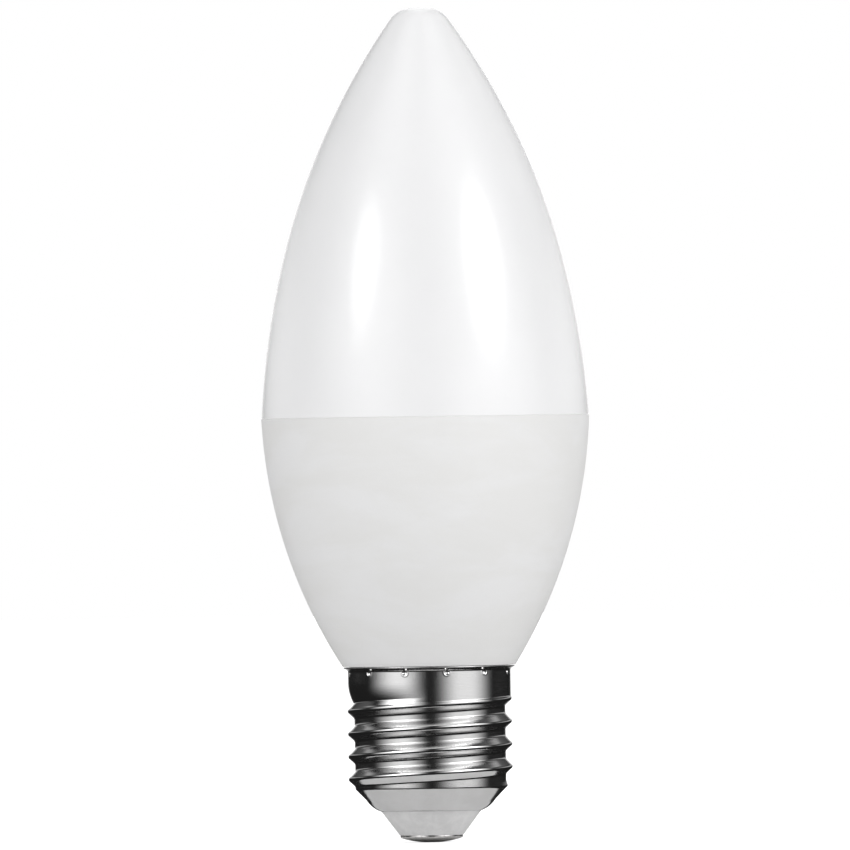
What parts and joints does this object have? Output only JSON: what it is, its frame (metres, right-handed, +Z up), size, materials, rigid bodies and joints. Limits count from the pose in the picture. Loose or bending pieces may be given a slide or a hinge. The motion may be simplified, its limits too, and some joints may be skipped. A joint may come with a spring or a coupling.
{
  "type": "candle lamp bulb",
  "caption": "Candle-shaped LED lamp: opal blunt-flame diffuser on a satin white housing, with a crimped metal E27 screw cap and a centre contact.",
  "frame": {"origin": "tip of the centre contact, the lowest point of the lamp on its axis", "axes": "+Z up the lamp's axis from the cap to the diffuser's tip; -Y towards the viewer of the picture, where the thread's groove ends; +X to the viewer's right"},
  "size_m": [0.0524, 0.0524, 0.1336],
  "materials": {
    "opal": "glossy opal white",
    "housing_plastic": "satin white",
    "plated_sheet": "bright plated, rolled",
    "insulator_plastic": "matt light grey",
    "contact_metal": "pressed, slightly dull"
  },
  "bodies": {
    "root": {"diffuser": "opal", "housing": "housing_plastic", "screw_shell": "plated_sheet", "insulator": "insulator_plastic", "centre_contact": "contact_metal"}
  },
  "joints": []
}
